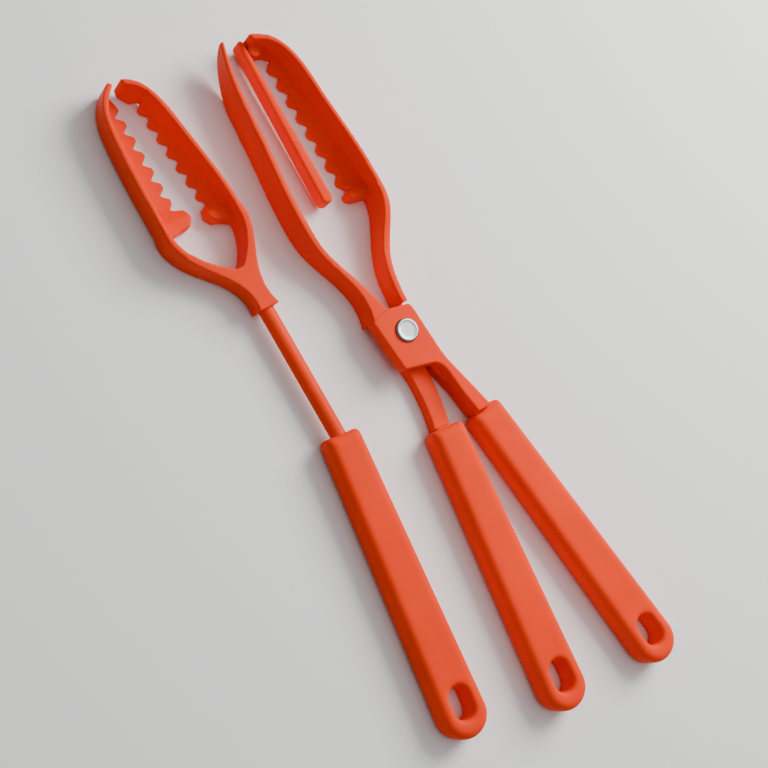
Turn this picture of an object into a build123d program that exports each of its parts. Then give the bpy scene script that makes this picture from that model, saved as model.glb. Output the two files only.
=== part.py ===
from build123d import *
import os
from math import cos, sin, radians

# A set of two hand tools that lie flat on their undersides: scissor tongs on a rivet, and a
# one-piece fork on a rod. Millimetres. The origin is on the rivet's axis, at the underside.
# +Y points to the jaws, +X to the right, +Z up.

# Heights
JAW_H = 14.0            # jaws of the tongs
ARM_H = 10.6            # upper arms of the tongs, next to the pivot
LAP_H = 5.0             # top of the lower lever where the levers cross
LAP_GAP = 0.2           # running gap between the levers
PLATE_TOP = 11.0        # top of the upper lever's plate
FORK_H = 12.0           # jaws of the fork
FLOOR = 1.8             # floor of each scooped jaw
WALL = 1.8              # wall of each scooped jaw
SCOOP_R = 3.0           # inner curve from floor to wall
HULL_R = 3.0            # outer curve from wall to underside
LEFT_FORK_HULL_R = 1.8
RUN_ON = 10.0           # how far a hollow's curve runs on past its jaw

# Pivot
BARREL_R = 2.6          # outside of the rivet's tubular half
BARREL_FIT = 0.05       # radial running clearance of the lower lever on the barrel
HEAD_R = 4.2
HEAD_H = 0.9
FLANGE_R = 4.2
FLANGE_H = 1.2
PIN_R = 1.7
BOSS_R = 6.3            # lower lever round the pivot
WASHER_R = 5.6
WASHER_T = 0.6

# Clamp bar and its pin
BAR_PIN_X = 0.5
BAR_PIN_Y = 107.3
BAR_PIN_R = 0.9
BAR_PIN_FIT = 0.05
BAR_Z0 = 2.0
BAR_Z1 = 9.0
BAR_EDGE_R = 0.9
LUG_Z0 = 4.0
LUG_Z1 = 6.6
LUG_R = 1.9
SLOT_GAP = 0.2
HOOK_BOSS_R = 2.4
HOOK_BOSS_TOP = 8.2
BAR_PIN_TOP = 7.6        # the pin is blind: the boss closes over it

# Grips
RIGHT_GRIP_LEN = 107.9
LEFT_GRIP_LEN = 103.3
FORK_GRIP_LEN = 106.9
GRIP_W0 = 13.0
GRIP_W1 = 16.6
GRIP_H = 10.2
GRIP_R = 3.0
GRIP_HOLE_R = 3.5
GRIP_HOLE_RUN = 4.4
GRIP_HOLE_FROM_END = 12.0
GRIP_HOLE_EDGE_R = 1.7
GRIP_CORNER_R = 1.6
TANG_LEN = 70.0
TANG_H = 5.0
LEFT_TANG_Z = 1.6
RIGHT_TANG_Z = 2.3

# Fork
ROD_R = 2.75
ROD_CORE_R = 1.6
ROD_Z = 5.0
ROD_TOP = (-39.4, 26.5)
ROD_END = (-37.7, -20.0)
ROD_IN = 22.0           # length of the rod inside the grip
ROD_IN_HEAD = 12.0
COLLAR_TOP = 9.4

os.makedirs("parts", exist_ok=True)


def tooth_points(first, last, count, depth):
    """Valley and tip corners of a toothed edge from first to last; depth is towards +X if positive."""
    points = []
    for i in range(count):
        start = i / count
        for along, drop in ((0.0, depth), (0.36, 0.0), (0.64, 0.0)):
            t = start + along / count
            x = first[0] + (last[0] - first[0]) * t + drop
            y = first[1] + (last[1] - first[1]) * t
            points.append((x, y))
    points.append((last[0] + depth, last[1]))
    return points


def grip_plane(front, angle, height):
    """A plane at a grip's front edge, with its own -Y along the grip."""
    return Plane(origin=(front[0], front[1], height), x_dir=(cos(radians(angle)), sin(radians(angle)), 0))


def grip_sketch(front, angle, length):
    """The plan of a grip, with a rounded end."""
    half0 = GRIP_W0 / 2
    half1 = GRIP_W1 / 2
    turn_y = half1 * 0.95 - length
    with BuildSketch(grip_plane(front, angle, 0)) as outline:
        with BuildLine():
            Polyline((-half1, turn_y), (-half0, 0), (half0, 0), (half1, turn_y))
            ThreePointArc((half1, turn_y), (0, -length), (-half1, turn_y))
        make_face()
    return outline.sketch


def hole_sketch(front, angle, length):
    """The oblong hanging hole near a grip's end."""
    with BuildSketch(grip_plane(front, angle, 0)) as hole:
        with Locations((0, GRIP_HOLE_FROM_END - length)):
            SlotOverall(GRIP_HOLE_RUN + 2 * GRIP_HOLE_R, 2 * GRIP_HOLE_R, rotation=90)
    return hole.sketch


def tang_sketch(front, angle, height):
    """The flat tang inside a grip, tapering to its end."""
    with BuildSketch(grip_plane(front, angle, height)) as tang:
        with BuildLine():
            Polyline((-2.6, 0.5), (2.6, 0.5), (3.4, -TANG_LEN + 2), (2.4, -TANG_LEN), (-2.4, -TANG_LEN),
                     (-3.4, -TANG_LEN + 2), close=True)
        make_face()
        with Locations((0, -TANG_LEN * 0.3), (0, -TANG_LEN * 0.75)):
            Circle(1.5, mode=Mode.SUBTRACT)
    return tang.sketch


def inset(points, amount):
    """The points of a curve, each moved sideways by amount, to the left of the curve's direction."""
    moved = []
    for i, here in enumerate(points):
        before = points[max(i - 1, 0)]
        after = points[min(i + 1, len(points) - 1)]
        run = (after[0] - before[0], after[1] - before[1])
        length = (run[0] ** 2 + run[1] ** 2) ** 0.5
        moved.append((here[0] - amount * run[1] / length, here[1] + amount * run[0] / length))
    return moved


def run_on(points, length):
    """The points of a curve with one more at each end, straight on by length."""
    first, second = Vector(*points[0]), Vector(*points[1])
    last, before = Vector(*points[-1]), Vector(*points[-2])
    start = first + (first - second).normalized() * length
    end = last + (last - before).normalized() * length
    return [(start.X, start.Y)] + points + [(end.X, end.Y)]


def scoop(rim, edge, side, height, hull, far_x, ear_y, ear_top):
    """A jaw like half a slotted spoon: a wall along the rim, a floor out to the toothed edge, and an ear.

    rim runs from the arm to the tip, edge runs back from the tip to the arm, and side is 1 where the
    floor lies to the left of the rim and -1 where it lies to the right. The ear is a ramp up from
    ear_y that closes the hollow's lower end.
    """
    with BuildPart() as hollow:
        with BuildSketch(Plane.XY.offset(FLOOR)):
            with BuildLine():
                wall = Spline(*run_on(inset(rim, WALL * side), RUN_ON))
                Polyline(wall @ 1, (far_x, (wall @ 1).Y), (far_x, (wall @ 0).Y), wall @ 0)
            make_face()
        extrude(amount=height)
        fillet(hollow.edges().filter_by(GeomType.BSPLINE).group_by(Axis.Z)[0], SCOOP_R)
        with BuildSketch(Plane.YZ.offset(-100)):
            with BuildLine():
                Polyline((ear_y - 12, 0), (ear_y, 0), (ear_y, FLOOR), (ear_y - 5.5, ear_top),
                         (ear_y - 12, ear_top + 0.6), close=True)
            make_face()
        extrude(amount=200, mode=Mode.SUBTRACT)
    with BuildPart() as jaw:
        with BuildSketch():
            with BuildLine():
                outside = Spline(*rim)
                Polyline(outside @ 1, *edge, outside @ 0)
            make_face()
        extrude(amount=height)
        fillet(jaw.edges().filter_by(GeomType.BSPLINE).group_by(Axis.Z)[0], hull)
        add(hollow.part, mode=Mode.SUBTRACT)
    return jaw.part


# Where each grip starts, and its turn from -Y
RIGHT_GRIP_AT = (13.9, -35.4)
RIGHT_GRIP_ANGLE = 9.6
RIGHT_TANG_AT = (12.7, -35.4)
LEFT_GRIP_AT = (-2.4, -34.6)
LEFT_GRIP_ANGLE = -4.0
FORK_GRIP_AT = (-37.7, -20.0)
FORK_GRIP_ANGLE = -4.7

# Upper lever: plain jaw, pivot plate and right-hand tang
with BuildPart() as plain_jaw_lever:
    # the jaw and its arm, a strip standing on edge
    with BuildSketch():
        with BuildLine():
            outer = Spline((-12.6, 112.2), (-15.7, 98), (-16.8, 76), (-17.9, 48), (-16.6, 38.5), (-11.4, 26),
                           (-8.8, 18), (-9.4, 7.2))
            Line(outer @ 1, (-1.9, 7.2))
            inner = Spline((-1.9, 7.2), (-4.1, 14), (-9.4, 27), (-14.3, 38.5), (-15.5, 48), (-14.7, 76),
                           (-13.8, 98), (-11.4, 112.2))
            Line(inner @ 1, outer @ 0)
        make_face()
    extrude(amount=JAW_H)
    # side profile: low beside the pivot, tall along the jaw, underside sweeping up to the tip
    with BuildSketch(Plane.YZ.offset(-30)):
        with BuildLine():
            Line((5, 0), (90, 0))
            Spline((90, 0), (103, 3.2), (113, 13.4), tangents=[(1, 0), (0.3, 1)])
            Polyline((113, 13.4), (113, JAW_H), (47, JAW_H))
            Spline((47, JAW_H), (36, 12), (25, ARM_H), tangents=[(-1, 0), (-1, 0)])
            Polyline((25, ARM_H), (5, ARM_H), (5, 0))
        make_face()
    extrude(amount=60, mode=Mode.INTERSECT)
    # the plate over the pivot, running on into the right-hand arm
    with BuildSketch(Plane.XY.offset(LAP_H + LAP_GAP)):
        with BuildLine():
            Polyline((-9.9, 7.2), (-2.0, 9.2), (5.7, 7.8), (6.4, 5.6), (8.0, -10.0))
            Spline((8.0, -10.0), (10.4, -19.5), (15.5, -35.4), tangents=[(0.12, -1), (0.3, -1)])
            Line((15.5, -35.4), (9.9, -35.4))
            Spline((9.9, -35.4), (7.4, -23.5), (2.6, -13.6), tangents=[(-0.2, 1), (-1, 0.2)])
            Polyline((2.6, -13.6), (-7.4, -11.4), (-9.9, 7.2))
        make_face()
    extrude(amount=PLATE_TOP - LAP_H - LAP_GAP)
    # the right-hand arm below the plate, reaching up beside the lower lever's lap
    with BuildSketch(Plane.XY.offset(1.0)):
        with BuildLine():
            Polyline((4.6, -15.6), (4.7, -9.6), (7.9, -9.6), (8.0, -10.0))
            Spline((8.0, -10.0), (10.4, -19.5), (15.5, -35.4), tangents=[(0.12, -1), (0.3, -1)])
            Line((15.5, -35.4), (9.9, -35.4))
            Spline((9.9, -35.4), (7.6, -24.5), (4.6, -15.6), tangents=[(-0.2, 1), (-0.4, 1)])
        make_face()
    extrude(amount=LAP_H)
    # pocket for the pivot washer, and the rivet's hole
    with BuildSketch(Plane.XY.offset(LAP_H)):
        Circle(WASHER_R + 0.1)
    extrude(amount=WASHER_T, mode=Mode.SUBTRACT)
    with BuildSketch():
        Circle(BARREL_R)
    extrude(amount=PLATE_TOP, mode=Mode.SUBTRACT)
    # the tang inside the right-hand grip
    extrude(tang_sketch(RIGHT_TANG_AT, RIGHT_GRIP_ANGLE, RIGHT_TANG_Z), amount=TANG_H)
plain_jaw_lever.part.label = "plain_jaw_lever"
export_step(plain_jaw_lever.part, "parts/plain_jaw_lever.step")

# Lower lever: toothed jaw and left-hand tang
tongs_teeth = tooth_points((7.8, 52.4), (4.6, 103.6), 8, 2.5)
tongs_scoop = scoop(
    rim=[(16.7, 45.0), (16.2, 60.0), (12.9, 86.0), (10.9, 99.0), (6.2, 107.6), (-1.8, 111.4)],
    edge=[(-1.4, 109.0), (0.6, 106.6), (4.6, 105.4)] + list(reversed(tongs_teeth))
    + [(7.2, 50.8), (7.4, 48.8), (9.6, 47.6), (14.3, 47.0)],
    side=1, height=JAW_H, hull=HULL_R, far_x=-30.0, ear_y=55.0, ear_top=6.5)

with BuildPart() as toothed_jaw_lever:
    # the upper arm, a strip standing on edge
    with BuildSketch():
        with BuildLine():
            arm_outer = Spline((16.7, 49.0), (16.3, 42.5), (12.4, 32.6), (8.3, 24.0), (6.6, 16.0), (6.6, 4.0))
            Line(arm_outer @ 1, (4.2, 4.0))
            arm_inner = Spline((4.2, 4.0), (4.1, 15.0), (5.6, 24.0), (9.8, 33.6), (13.6, 41.5), (14.5, 49.0))
            Line(arm_inner @ 1, arm_outer @ 0)
        make_face()
    extrude(amount=JAW_H)
    with BuildSketch(Plane.YZ.offset(-30)):
        with BuildLine():
            Polyline((8.9, LAP_H), (0, LAP_H), (0, 0), (52, 0), (52, JAW_H), (43.5, JAW_H))
            Spline((43.5, JAW_H), (34.5, 12), (25, ARM_H - 0.4), tangents=[(-1, 0), (-1, 0)])
            Polyline((25, ARM_H - 0.4), (8.9, ARM_H - 0.4), (8.9, LAP_H))
        make_face()
    extrude(amount=60, mode=Mode.INTERSECT)
    # the lap under the plate, and the lower arm rising gently to its grip
    with BuildSketch():
        Circle(BOSS_R)
        with BuildLine():
            Polyline((-5.6, -1.0), (-4.4, -11.3))
            Spline((-4.4, -11.3), (-3.7, -20.0), (-5.4, -34.6), tangents=[(0.25, -1), (-0.25, -1)])
            Line((-5.4, -34.6), (1.2, -34.6))
            Spline((1.2, -34.6), (3.1, -20.0), (2.9, -12.0), tangents=[(0.2, 1), (-0.1, 1)])
            Polyline((2.9, -12.0), (5.6, -2.0), (6.6, 9.0), (2.0, 5.0), (-5.6, -1.0))
        make_face()
    extrude(amount=LAP_H)
    with BuildSketch():
        Circle(BARREL_R + BARREL_FIT)
    extrude(amount=LAP_H, mode=Mode.SUBTRACT)
    with BuildSketch():
        Circle(FLANGE_R + 0.2)
    extrude(amount=FLANGE_H, mode=Mode.SUBTRACT)
    extrude(tang_sketch(LEFT_GRIP_AT, LEFT_GRIP_ANGLE, LEFT_TANG_Z), amount=TANG_H)
    add(tongs_scoop)
    # the boss in the hook that carries the clamp bar's pin, slotted for the bar's lug
    with BuildSketch():
        with Locations((BAR_PIN_X, BAR_PIN_Y)):
            Circle(HOOK_BOSS_R)
    extrude(amount=HOOK_BOSS_TOP)
    with BuildSketch(Plane.XY.offset(LUG_Z0 - SLOT_GAP)):
        with Locations((BAR_PIN_X, BAR_PIN_Y)):
            Circle(HOOK_BOSS_R + 0.4)
    extrude(amount=LUG_Z1 - LUG_Z0 + 2 * SLOT_GAP, mode=Mode.SUBTRACT)
    with BuildSketch():
        with Locations((BAR_PIN_X, BAR_PIN_Y)):
            Circle(BAR_PIN_R)
    extrude(amount=BAR_PIN_TOP, mode=Mode.SUBTRACT)
toothed_jaw_lever.part.label = "toothed_jaw_lever"
export_step(toothed_jaw_lever.part, "parts/toothed_jaw_lever.step")

# Pivot: a two-piece rivet and the washer between the levers
with BuildPart() as rivet_barrel:
    with BuildSketch():
        Circle(FLANGE_R)
    extrude(amount=FLANGE_H - 0.1)
    chamfer(rivet_barrel.edges().group_by(Axis.Z)[0], 0.2)
    with BuildSketch():
        Circle(BARREL_R)
    extrude(amount=PLATE_TOP)
    with BuildSketch(Plane.XY.offset(FLANGE_H)):
        Circle(PIN_R)
    extrude(amount=PLATE_TOP, mode=Mode.SUBTRACT)
rivet_barrel.part.label = "rivet_barrel"
export_step(rivet_barrel.part, "parts/rivet_barrel.step")

with BuildPart() as rivet_pin:
    with BuildSketch(Plane.XY.offset(FLANGE_H + 0.4)):
        Circle(PIN_R)
    extrude(amount=PLATE_TOP - FLANGE_H - 0.4)
    with BuildSketch(Plane.XY.offset(PLATE_TOP)):
        Circle(HEAD_R)
    extrude(amount=HEAD_H)
    chamfer(rivet_pin.edges().group_by(Axis.Z)[-1], 0.45)
rivet_pin.part.label = "rivet_pin"
export_step(rivet_pin.part, "parts/rivet_pin.step")

with BuildPart() as pivot_washer:
    with BuildSketch(Plane.XY.offset(LAP_H)):
        Circle(WASHER_R)
        Circle(BARREL_R + 0.1, mode=Mode.SUBTRACT)
    extrude(amount=WASHER_T)
pivot_washer.part.label = "pivot_washer"
export_step(pivot_washer.part, "parts/pivot_washer.step")

# Clamp bar, hung from the hook of the toothed jaw by its pin
with BuildPart() as clamp_bar:
    with BuildSketch(Plane.XY.offset(BAR_Z0)):
        with BuildLine():
            Line((-4.0, 52.1), (-4.5, 110.8))
            ThreePointArc((-4.5, 110.8), (-3.45, 111.9), (-2.4, 110.8))
            Line((-2.4, 110.8), (0.3, 52.1))
            ThreePointArc((0.3, 52.1), (-1.85, 49.8), (-4.0, 52.1))
        make_face()
    extrude(amount=BAR_Z1 - BAR_Z0)
    fillet(clamp_bar.edges().group_by(Axis.Z)[-1], BAR_EDGE_R)
    fillet(clamp_bar.edges().group_by(Axis.Z)[0], BAR_EDGE_R)
    with BuildSketch(Plane.XY.offset(LUG_Z0)):
        with BuildLine():
            Polyline((-3.6, 103.6), (BAR_PIN_X, BAR_PIN_Y - LUG_R), (BAR_PIN_X, BAR_PIN_Y + LUG_R),
                     (-3.4, 109.0), (-3.6, 103.6))
        make_face()
        with Locations((BAR_PIN_X, BAR_PIN_Y)):
            Circle(LUG_R)
            Circle(BAR_PIN_R + BAR_PIN_FIT, mode=Mode.SUBTRACT)
    extrude(amount=LUG_Z1 - LUG_Z0)
clamp_bar.part.label = "clamp_bar"
export_step(clamp_bar.part, "parts/clamp_bar.step")

with BuildPart() as bar_pin:
    with BuildSketch(Plane.XY.offset(0.3)):
        with Locations((BAR_PIN_X, BAR_PIN_Y)):
            Circle(BAR_PIN_R)
    extrude(amount=BAR_PIN_TOP - 0.3)
bar_pin.part.label = "bar_pin"
export_step(bar_pin.part, "parts/bar_pin.step")


def grip(front, angle, length):
    """A moulded sleeve with soft edges and a hanging hole, still solid inside."""
    with BuildPart() as sleeve:
        extrude(grip_sketch(front, angle, length), amount=GRIP_H)
        fillet(sleeve.edges().filter_by(Axis.Z).sort_by(Axis.Y)[-2:], GRIP_CORNER_R)
        fillet(sleeve.edges().group_by(Axis.Z)[-1], GRIP_R)
        fillet(sleeve.edges().group_by(Axis.Z)[0], GRIP_R)
        extrude(hole_sketch(front, angle, length), amount=GRIP_H, mode=Mode.SUBTRACT)
        fillet(sleeve.edges().group_by(Axis.Z)[-1].filter_by(hole_edge(front, angle, length)), GRIP_HOLE_EDGE_R)
        fillet(sleeve.edges().group_by(Axis.Z)[0].filter_by(hole_edge(front, angle, length)), GRIP_HOLE_EDGE_R)
    return sleeve.part


def hole_edge(front, angle, length):
    """Tells whether an edge belongs to the rim of the hanging hole."""
    centre = grip_plane(front, angle, 0).from_local_coords((0, GRIP_HOLE_FROM_END - length, 0))
    reach = GRIP_HOLE_R + GRIP_HOLE_RUN / 2 + 0.1
    return lambda edge: ((edge @ 0.5).X - centre.X) ** 2 + ((edge @ 0.5).Y - centre.Y) ** 2 < reach ** 2


with BuildPart() as right_grip:
    add(grip(RIGHT_GRIP_AT, RIGHT_GRIP_ANGLE, RIGHT_GRIP_LEN))
    add(plain_jaw_lever.part, mode=Mode.SUBTRACT)
right_grip.part.label = "right_grip"
export_step(right_grip.part, "parts/right_grip.step")

with BuildPart() as left_grip:
    add(grip(LEFT_GRIP_AT, LEFT_GRIP_ANGLE, LEFT_GRIP_LEN))
    add(toothed_jaw_lever.part, mode=Mode.SUBTRACT)
left_grip.part.label = "left_grip"
export_step(left_grip.part, "parts/left_grip.step")

# Fork: two scooped jaws on sprung arms, a collar, a rod and a grip
left_teeth = tooth_points((-49.3, 69.6), (-50.9, 104.6), 6, -2.5)
left_scoop = scoop(
    rim=[(-61.4, 58.0), (-61.5, 76.0), (-61.2, 96.0), (-59.6, 106.0), (-54.0, 113.6)],
    edge=[(-52.4, 112.0), (-51.3, 109.4), (-50.6, 106.6)] + list(reversed(left_teeth))
    + [(-47.8, 68.0), (-47.4, 64.4), (-49.4, 61.6), (-54.0, 61.2), (-59.0, 60.0)],
    side=-1, height=FORK_H, hull=LEFT_FORK_HULL_R, far_x=-20.0, ear_y=71.0, ear_top=6.0)
right_teeth = tooth_points((-40.6, 67.4), (-45.2, 106.4), 7, 2.4)
right_scoop = scoop(
    rim=[(-32.2, 56.0), (-33.4, 70.0), (-37.4, 91.0), (-40.4, 103.4), (-43.8, 109.6), (-49.8, 113.2)],
    edge=[(-49.0, 110.8), (-46.6, 107.6)] + list(reversed(right_teeth))
    + [(-41.6, 66.0), (-42.4, 63.0), (-40.8, 60.4), (-37.6, 59.6), (-34.4, 58.0)],
    side=1, height=FORK_H, hull=HULL_R, far_x=-80.0, ear_y=69.0, ear_top=6.0)

with BuildPart() as fork_head:
    with BuildSketch():
        with BuildLine():
            left_out = Spline((-61.4, 62.0), (-60.0, 54.6), (-52.6, 45.4), (-45.4, 37.2), (-43.2, 27.2))
            Line(left_out @ 1, (-35.6, 27.2))
            right_out = Spline((-35.6, 27.2), (-36.8, 38.0), (-34.2, 47.0), (-32.1, 55.0), (-32.4, 62.0))
            Line(right_out @ 1, (-34.6, 62.0))
            right_in = Spline((-34.6, 62.0), (-34.6, 55.4), (-37.2, 48.0), (-41.4, 42.6))
            Line(right_in @ 1, (-43.6, 42.6))
            left_in = Spline((-43.6, 42.6), (-51.0, 47.6), (-57.8, 55.6), (-59.2, 62.0))
            Line(left_in @ 1, left_out @ 0)
        make_face()
    extrude(amount=FORK_H)
    with BuildSketch(Plane.YZ.offset(-80)):
        with BuildLine():
            Polyline((26, 0.6), (38, 0.6), (46, 0), (66, 0), (66, FORK_H), (58, FORK_H))
            Spline((58, FORK_H), (48, 10.6), (38, COLLAR_TOP), tangents=[(-1, 0), (-1, 0)])
            Polyline((38, COLLAR_TOP), (26, COLLAR_TOP), (26, 0.6))
        make_face()
    extrude(amount=60, mode=Mode.INTERSECT)
    add(left_scoop)
    add(right_scoop)

rod_run = Vector(ROD_TOP[0] - ROD_END[0], ROD_TOP[1] - ROD_END[1], 0)
rod_along = rod_run.normalized()
rod_start = Vector(ROD_END[0], ROD_END[1], ROD_Z) - rod_along * ROD_IN
rod_plane = Plane(origin=tuple(rod_start), x_dir=(0, 0, 1), z_dir=tuple(rod_along))
rod_length = rod_run.length + ROD_IN + ROD_IN_HEAD

with BuildPart() as rod_core:
    with BuildSketch(rod_plane):
        Circle(ROD_CORE_R)
    extrude(amount=rod_length)
rod_core.part.label = "rod_core"
export_step(rod_core.part, "parts/rod_core.step")

with BuildPart() as rod_sleeve:
    with BuildSketch(rod_plane):
        Circle(ROD_R)
        Circle(ROD_CORE_R, mode=Mode.SUBTRACT)
    extrude(amount=rod_length)
rod_sleeve.part.label = "rod_sleeve"
export_step(rod_sleeve.part, "parts/rod_sleeve.step")

with fork_head:
    with BuildSketch(rod_plane):
        Circle(ROD_R)
    extrude(amount=rod_length, mode=Mode.SUBTRACT)
fork_head.part.label = "fork_head"
export_step(fork_head.part, "parts/fork_head.step")

with BuildPart() as fork_grip:
    add(grip(FORK_GRIP_AT, FORK_GRIP_ANGLE, FORK_GRIP_LEN))
    with BuildSketch(rod_plane):
        Circle(ROD_R)
    extrude(amount=rod_length, mode=Mode.SUBTRACT)
fork_grip.part.label = "fork_grip"
export_step(fork_grip.part, "parts/fork_grip.step")
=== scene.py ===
import math
import bpy
import bmesh
from mathutils import Matrix, Vector

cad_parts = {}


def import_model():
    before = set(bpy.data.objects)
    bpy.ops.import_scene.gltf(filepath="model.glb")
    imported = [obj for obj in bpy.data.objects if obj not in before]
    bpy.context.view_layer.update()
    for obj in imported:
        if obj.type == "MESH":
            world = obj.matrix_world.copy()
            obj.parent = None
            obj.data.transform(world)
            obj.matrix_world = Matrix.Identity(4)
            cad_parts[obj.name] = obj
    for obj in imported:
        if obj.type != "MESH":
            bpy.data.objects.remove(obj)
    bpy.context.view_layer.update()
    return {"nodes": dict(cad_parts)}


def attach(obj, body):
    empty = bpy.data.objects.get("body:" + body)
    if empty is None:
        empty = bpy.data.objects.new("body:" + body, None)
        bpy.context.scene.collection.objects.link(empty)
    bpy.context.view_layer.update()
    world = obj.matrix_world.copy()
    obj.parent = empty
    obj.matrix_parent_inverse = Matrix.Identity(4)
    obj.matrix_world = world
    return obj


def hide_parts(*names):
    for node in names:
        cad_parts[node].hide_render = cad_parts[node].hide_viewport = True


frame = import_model()
nodes = frame["nodes"]

# Sizes in metres, in the frame of the part: origin on the rivet's axis at the underside, +Y to the jaws
MM = 0.001

# The camera looks down from the left of the tools, rolled so that they lie across the picture
CAMERA_AT = Vector((-0.2403, -0.0123, 0.4502))
CAMERA_TILT = math.radians(26.94)
CAMERA_ROLL = math.radians(27.97)
CAMERA_LENS = 70.17

SMOOTH_STEP = 0.5
TURN_SEGMENTS = 96
FLOOR_HALF = 3.0
PLASTIC_SPECULAR = 0.07

# Textures, in cycles per metre
FLOW_SCALE = 38
PLASTIC_CLOUDS = 210
METAL_CLOUDS = 420
TOOL_MARKS = 900


def camera():
    """The camera, from its tilt about the tools' long axis and its roll in the picture."""
    along = Vector((0, 1, 0))
    across = Vector((math.cos(CAMERA_TILT), 0, math.sin(CAMERA_TILT)))
    right = -math.sin(CAMERA_ROLL) * along + math.cos(CAMERA_ROLL) * across
    up = math.cos(CAMERA_ROLL) * along + math.sin(CAMERA_ROLL) * across
    back = right.cross(up)
    data = bpy.data.cameras.new("camera")
    data.lens = CAMERA_LENS
    data.sensor_width = 36
    made = bpy.data.objects.new("camera", data)
    bpy.context.scene.collection.objects.link(made)
    made.matrix_world = Matrix.Translation(CAMERA_AT) @ Matrix((right, up, back)).transposed().to_4x4()
    bpy.context.scene.camera = made


def area_light(name, place, target, size, power, colour):
    """A soft rectangular light at place, facing target."""
    data = bpy.data.lights.new(name, "AREA")
    data.shape = "RECTANGLE"
    data.size = size[0]
    data.size_y = size[1]
    data.energy = power
    data.color = colour
    made = bpy.data.objects.new(name, data)
    bpy.context.scene.collection.objects.link(made)
    made.location = place
    made.rotation_euler = (Vector(target) - Vector(place)).to_track_quat("-Z", "Y").to_euler()


def world(colour, strength):
    """Even light from all round."""
    made = bpy.data.worlds.new("studio")
    bpy.context.scene.world = made
    made.use_nodes = True
    shade = made.node_tree.nodes["Background"]
    shade.inputs["Color"].default_value = (*colour, 1)
    shade.inputs["Strength"].default_value = strength


def new_material(name, base, roughness):
    """A material, its node tree and its shader."""
    made = bpy.data.materials.new(name)
    made.use_nodes = True
    tree = made.node_tree
    shader = tree.nodes["Principled BSDF"]
    shader.inputs["Base Color"].default_value = (*base, 1)
    shader.inputs["Roughness"].default_value = roughness
    return made, tree, shader


def link(tree, source, output, target, socket):
    """Joins one node's output to another node's socket."""
    tree.links.new(source.outputs[output], target.inputs[socket])


def noise(tree, scale, detail, coords):
    """A noise texture in the object's own space."""
    made = tree.nodes.new("ShaderNodeTexNoise")
    made.inputs["Scale"].default_value = scale
    made.inputs["Detail"].default_value = detail
    link(tree, coords, "Object", made, "Vector")
    return made


def vary_colour(tree, shader, coords, dark, light):
    """Flow marks: the base colour drifts softly between dark and light."""
    tone = noise(tree, FLOW_SCALE, 3, coords)
    shades = tree.nodes.new("ShaderNodeValToRGB")
    for stop, place, colour in zip(shades.color_ramp.elements, (0.35, 0.65), (dark, light)):
        stop.position = place
        stop.color = (*colour, 1)
    link(tree, tone, "Fac", shades, "Fac")
    link(tree, shades, "Color", shader, "Base Color")


def vary_gloss(tree, shader, coords, scale, lowest, highest):
    """Patches of lower and higher roughness."""
    gloss = noise(tree, scale, 4, coords)
    spread = tree.nodes.new("ShaderNodeMapRange")
    spread.inputs["To Min"].default_value = lowest
    spread.inputs["To Max"].default_value = highest
    link(tree, gloss, "Fac", spread, "Value")
    link(tree, spread, "Result", shader, "Roughness")


def relief(tree, shader, texture, strength, height):
    """Raises the surface's normals with a texture."""
    bump = tree.nodes.new("ShaderNodeBump")
    bump.inputs["Strength"].default_value = strength
    bump.inputs["Distance"].default_value = height
    link(tree, texture, "Fac", bump, "Height")
    link(tree, bump, "Normal", shader, "Normal")


def plastic(name, base, roughness, grain, grain_height):
    """Moulded plastic: a fine spark-eroded grain, faint flow marks and a little change of gloss."""
    made, tree, shader = new_material(name, base, roughness)
    shader.inputs["Specular IOR Level"].default_value = PLASTIC_SPECULAR
    coords = tree.nodes.new("ShaderNodeTexCoord")
    dark = tuple(c * 0.93 for c in base)
    light = tuple(min(c * 1.05, 1) for c in base)
    vary_colour(tree, shader, coords, dark, light)
    vary_gloss(tree, shader, coords, PLASTIC_CLOUDS, roughness - 0.05, roughness + 0.07)
    relief(tree, shader, noise(tree, grain, 2, coords), 0.35, grain_height)
    return made


def brushed_metal(name, base, roughness, turned):
    """Metal with fine lathe marks round the Z axis, or plain drawn marks."""
    made, tree, shader = new_material(name, base, roughness)
    shader.inputs["Metallic"].default_value = 1
    coords = tree.nodes.new("ShaderNodeTexCoord")
    marks = tree.nodes.new("ShaderNodeTexWave")
    marks.wave_type = "RINGS" if turned else "BANDS"
    marks.rings_direction = "Z"
    marks.inputs["Scale"].default_value = TOOL_MARKS
    marks.inputs["Distortion"].default_value = 1.2
    marks.inputs["Detail"].default_value = 2
    link(tree, coords, "Object", marks, "Vector")
    vary_gloss(tree, shader, coords, METAL_CLOUDS, roughness - 0.06, roughness + 0.1)
    relief(tree, shader, marks, 0.12, 0.02 * MM)
    return made


def paint(piece, material):
    """Gives a piece one material."""
    piece.data.materials.clear()
    piece.data.materials.append(material)


def soften_zones(mesh, zones):
    """Rounds the mesh further inside each zone: a box in millimetres and a count of passes."""
    shape = bmesh.new()
    shape.from_mesh(mesh)
    for (x0, y0, x1, y1, z0), passes in zones:
        inside = [v for v in shape.verts
                  if x0 * MM < v.co.x < x1 * MM and y0 * MM < v.co.y < y1 * MM and v.co.z > z0 * MM]
        for _ in range(passes):
            bmesh.ops.smooth_vert(shape, verts=inside, factor=SMOOTH_STEP,
                                  use_axis_x=True, use_axis_y=True, use_axis_z=True)
    shape.to_mesh(mesh)
    shape.free()


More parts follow.
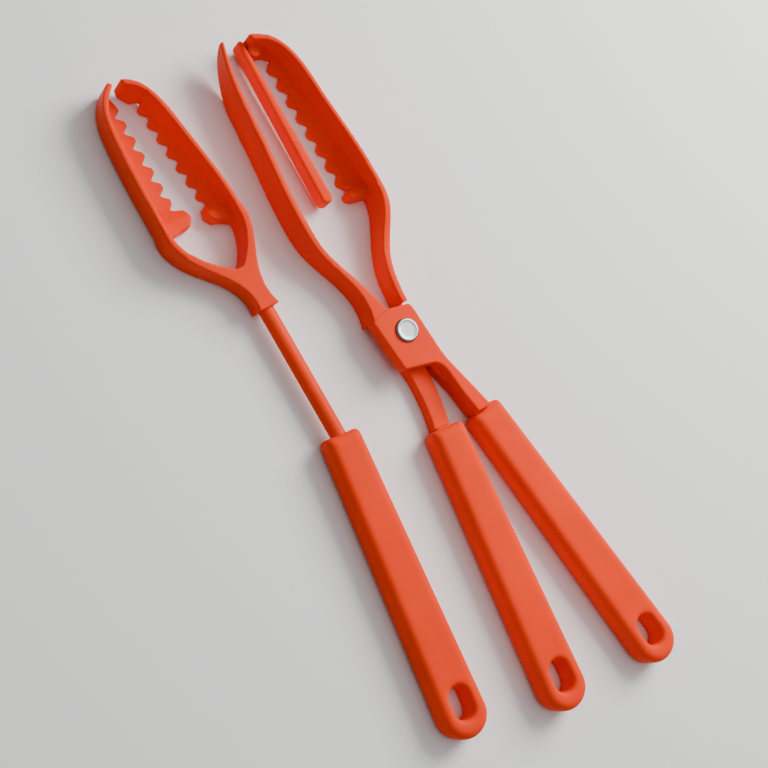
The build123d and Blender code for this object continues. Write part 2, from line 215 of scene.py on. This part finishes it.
def moulded(node, body, material, voxel, soften, zones):
    """A moulded copy of a CAD node: the same shape on an even grid, with its edges softly rounded."""
    piece = bpy.data.objects.new(node + "_moulded", nodes[node].data.copy())
    bpy.context.scene.collection.objects.link(piece)
    grid = piece.modifiers.new("grid", "REMESH")
    grid.mode = "VOXEL"
    grid.voxel_size = voxel
    soft = piece.modifiers.new("soft", "SMOOTH")
    soft.factor = SMOOTH_STEP
    soft.iterations = soften
    shape = bpy.data.meshes.new_from_object(piece.evaluated_get(bpy.context.evaluated_depsgraph_get()))
    piece.modifiers.clear()
    piece.data = shape
    shape.name = node + "_moulded"
    soften_zones(shape, zones)
    for face in shape.polygons:
        face.use_smooth = True
    paint(piece, material)
    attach(piece, body)
    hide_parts(node)


def turned_piece(name, profile):
    """A closed lathe mesh round the Z axis through the origin, from (radius, height) corners."""
    mesh = bpy.data.meshes.new(name)
    shape = bmesh.new()
    rings = []
    for radius, height in profile:
        if radius == 0:
            rings.append([shape.verts.new((0, 0, height))])
        else:
            turns = [2 * math.pi * k / TURN_SEGMENTS for k in range(TURN_SEGMENTS)]
            rings.append([shape.verts.new((radius * math.cos(a), radius * math.sin(a), height))
                          for a in turns])
    for low, high in zip(rings, rings[1:]):
        for k in range(TURN_SEGMENTS):
            corners = [low[k % len(low)], low[(k + 1) % len(low)],
                       high[(k + 1) % len(high)], high[k % len(high)]]
            shape.faces.new(list(dict.fromkeys(corners)))
    bmesh.ops.recalc_face_normals(shape, faces=shape.faces)
    shape.to_mesh(mesh)
    shape.free()
    for face in mesh.polygons:
        face.use_smooth = True
    piece = bpy.data.objects.new(name, mesh)
    bpy.context.scene.collection.objects.link(piece)
    return piece


camera()
world((1, 1, 1), 0.18)
area_light("key", (0.52, 0.12, 0.44), (0, 0, 0), (0.4, 0.4), 8.6, (1, 0.985, 0.96))
area_light("top", (0.5, 0, 2.2), (0, 0, 0), (2.6, 2.6), 27.0, (1, 1, 1))

ORANGE = (0.84, 0.038, 0.003)
lever_plastic = plastic("lever_plastic", ORANGE, 0.46, 2600, 0.02 * MM)
grip_plastic = plastic("grip_plastic", (0.86, 0.040, 0.003), 0.55, 3400, 0.03 * MM)
rod_vinyl = plastic("rod_vinyl", (0.82, 0.042, 0.004), 0.4, 1800, 0.012 * MM)
nylon = plastic("nylon", (0.82, 0.80, 0.74), 0.5, 2600, 0.01 * MM)
rivet_metal = brushed_metal("rivet_metal", (0.30, 0.315, 0.34), 0.3, True)
core_metal = brushed_metal("core_metal", (0.6, 0.6, 0.62), 0.35, False)

# Half section of the rivet's pin half, in millimetres: shank, underside of the head, rolled rim, face
RIVET_PROFILE = [(0, 1.6), (1.7, 1.6), (1.7, 11.0), (4.0, 11.0), (4.17, 11.08), (4.2, 11.25), (4.14, 11.48),
                 (3.98, 11.68), (3.76, 11.82), (3.5, 11.88), (3.28, 11.86), (3.08, 11.8), (2.2, 11.78),
                 (0, 11.78)]

# Ears and tips that are rounder than the rest: (x0, y0, x1, y1, lowest z) in millimetres, and passes
TONGS_ZONES = [((4.0, 46.0, 13.4, 57.5, 0.4), 14), ((-3.5, 103.0, 4.0, 111.0, 2.2), 10)]
FORK_ZONES = [((-58.6, 59.5, -46.5, 72.5, 0.4), 16), ((-45.0, 57.8, -35.2, 71.0, 0.4), 16),
              ((-56.0, 106.0, -45.0, 115.0, 0.8), 6), ((-63.0, 52.0, -56.0, 65.0, -1.0), 18)]

# Each moulded node: its body, slot and material, its grid, passes of smoothing, and zones
for node, body, slot, material, voxel, soften, zones in (
        ("plain_jaw_lever", "plate_lever", "lever_plastic", lever_plastic, 0.36 * MM, 5, []),
        ("toothed_jaw_lever", "toothed_lever", "lever_plastic", lever_plastic, 0.32 * MM, 6, TONGS_ZONES),
        ("fork_head", "fork", "fork_plastic", lever_plastic, 0.32 * MM, 7, FORK_ZONES),
        ("clamp_bar", "bar", "bar_plastic", lever_plastic, 0.28 * MM, 14, []),
        ("right_grip", "plate_lever", "grip_plastic", grip_plastic, 0.42 * MM, 22, []),
        ("left_grip", "toothed_lever", "grip_plastic", grip_plastic, 0.42 * MM, 22, []),
        ("fork_grip", "fork", "grip_plastic", grip_plastic, 0.42 * MM, 22, [])):
    moulded(node, body, material, voxel, soften, zones)
paint(nodes["rod_sleeve"], rod_vinyl)
paint(nodes["rod_core"], core_metal)
paint(nodes["pivot_washer"], nylon)
paint(nodes["rivet_barrel"], rivet_metal)
rivet = turned_piece("rivet_head", [(r * MM, z * MM) for r, z in RIVET_PROFILE])
paint(rivet, rivet_metal)
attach(rivet, "plate_lever")
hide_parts("rivet_pin")
paint(nodes["bar_pin"], rivet_metal)

floor = bpy.data.objects.new("floor", bpy.data.meshes.new("floor"))
bpy.context.scene.collection.objects.link(floor)
floor.data.from_pydata([(-FLOOR_HALF, -FLOOR_HALF, 0), (FLOOR_HALF, -FLOOR_HALF, 0),
                        (FLOOR_HALF, FLOOR_HALF, 0), (-FLOOR_HALF, FLOOR_HALF, 0)], [], [(0, 1, 2, 3)])
paint(floor, new_material("floor_paint", (0.84, 0.84, 0.84), 0.8)[0])
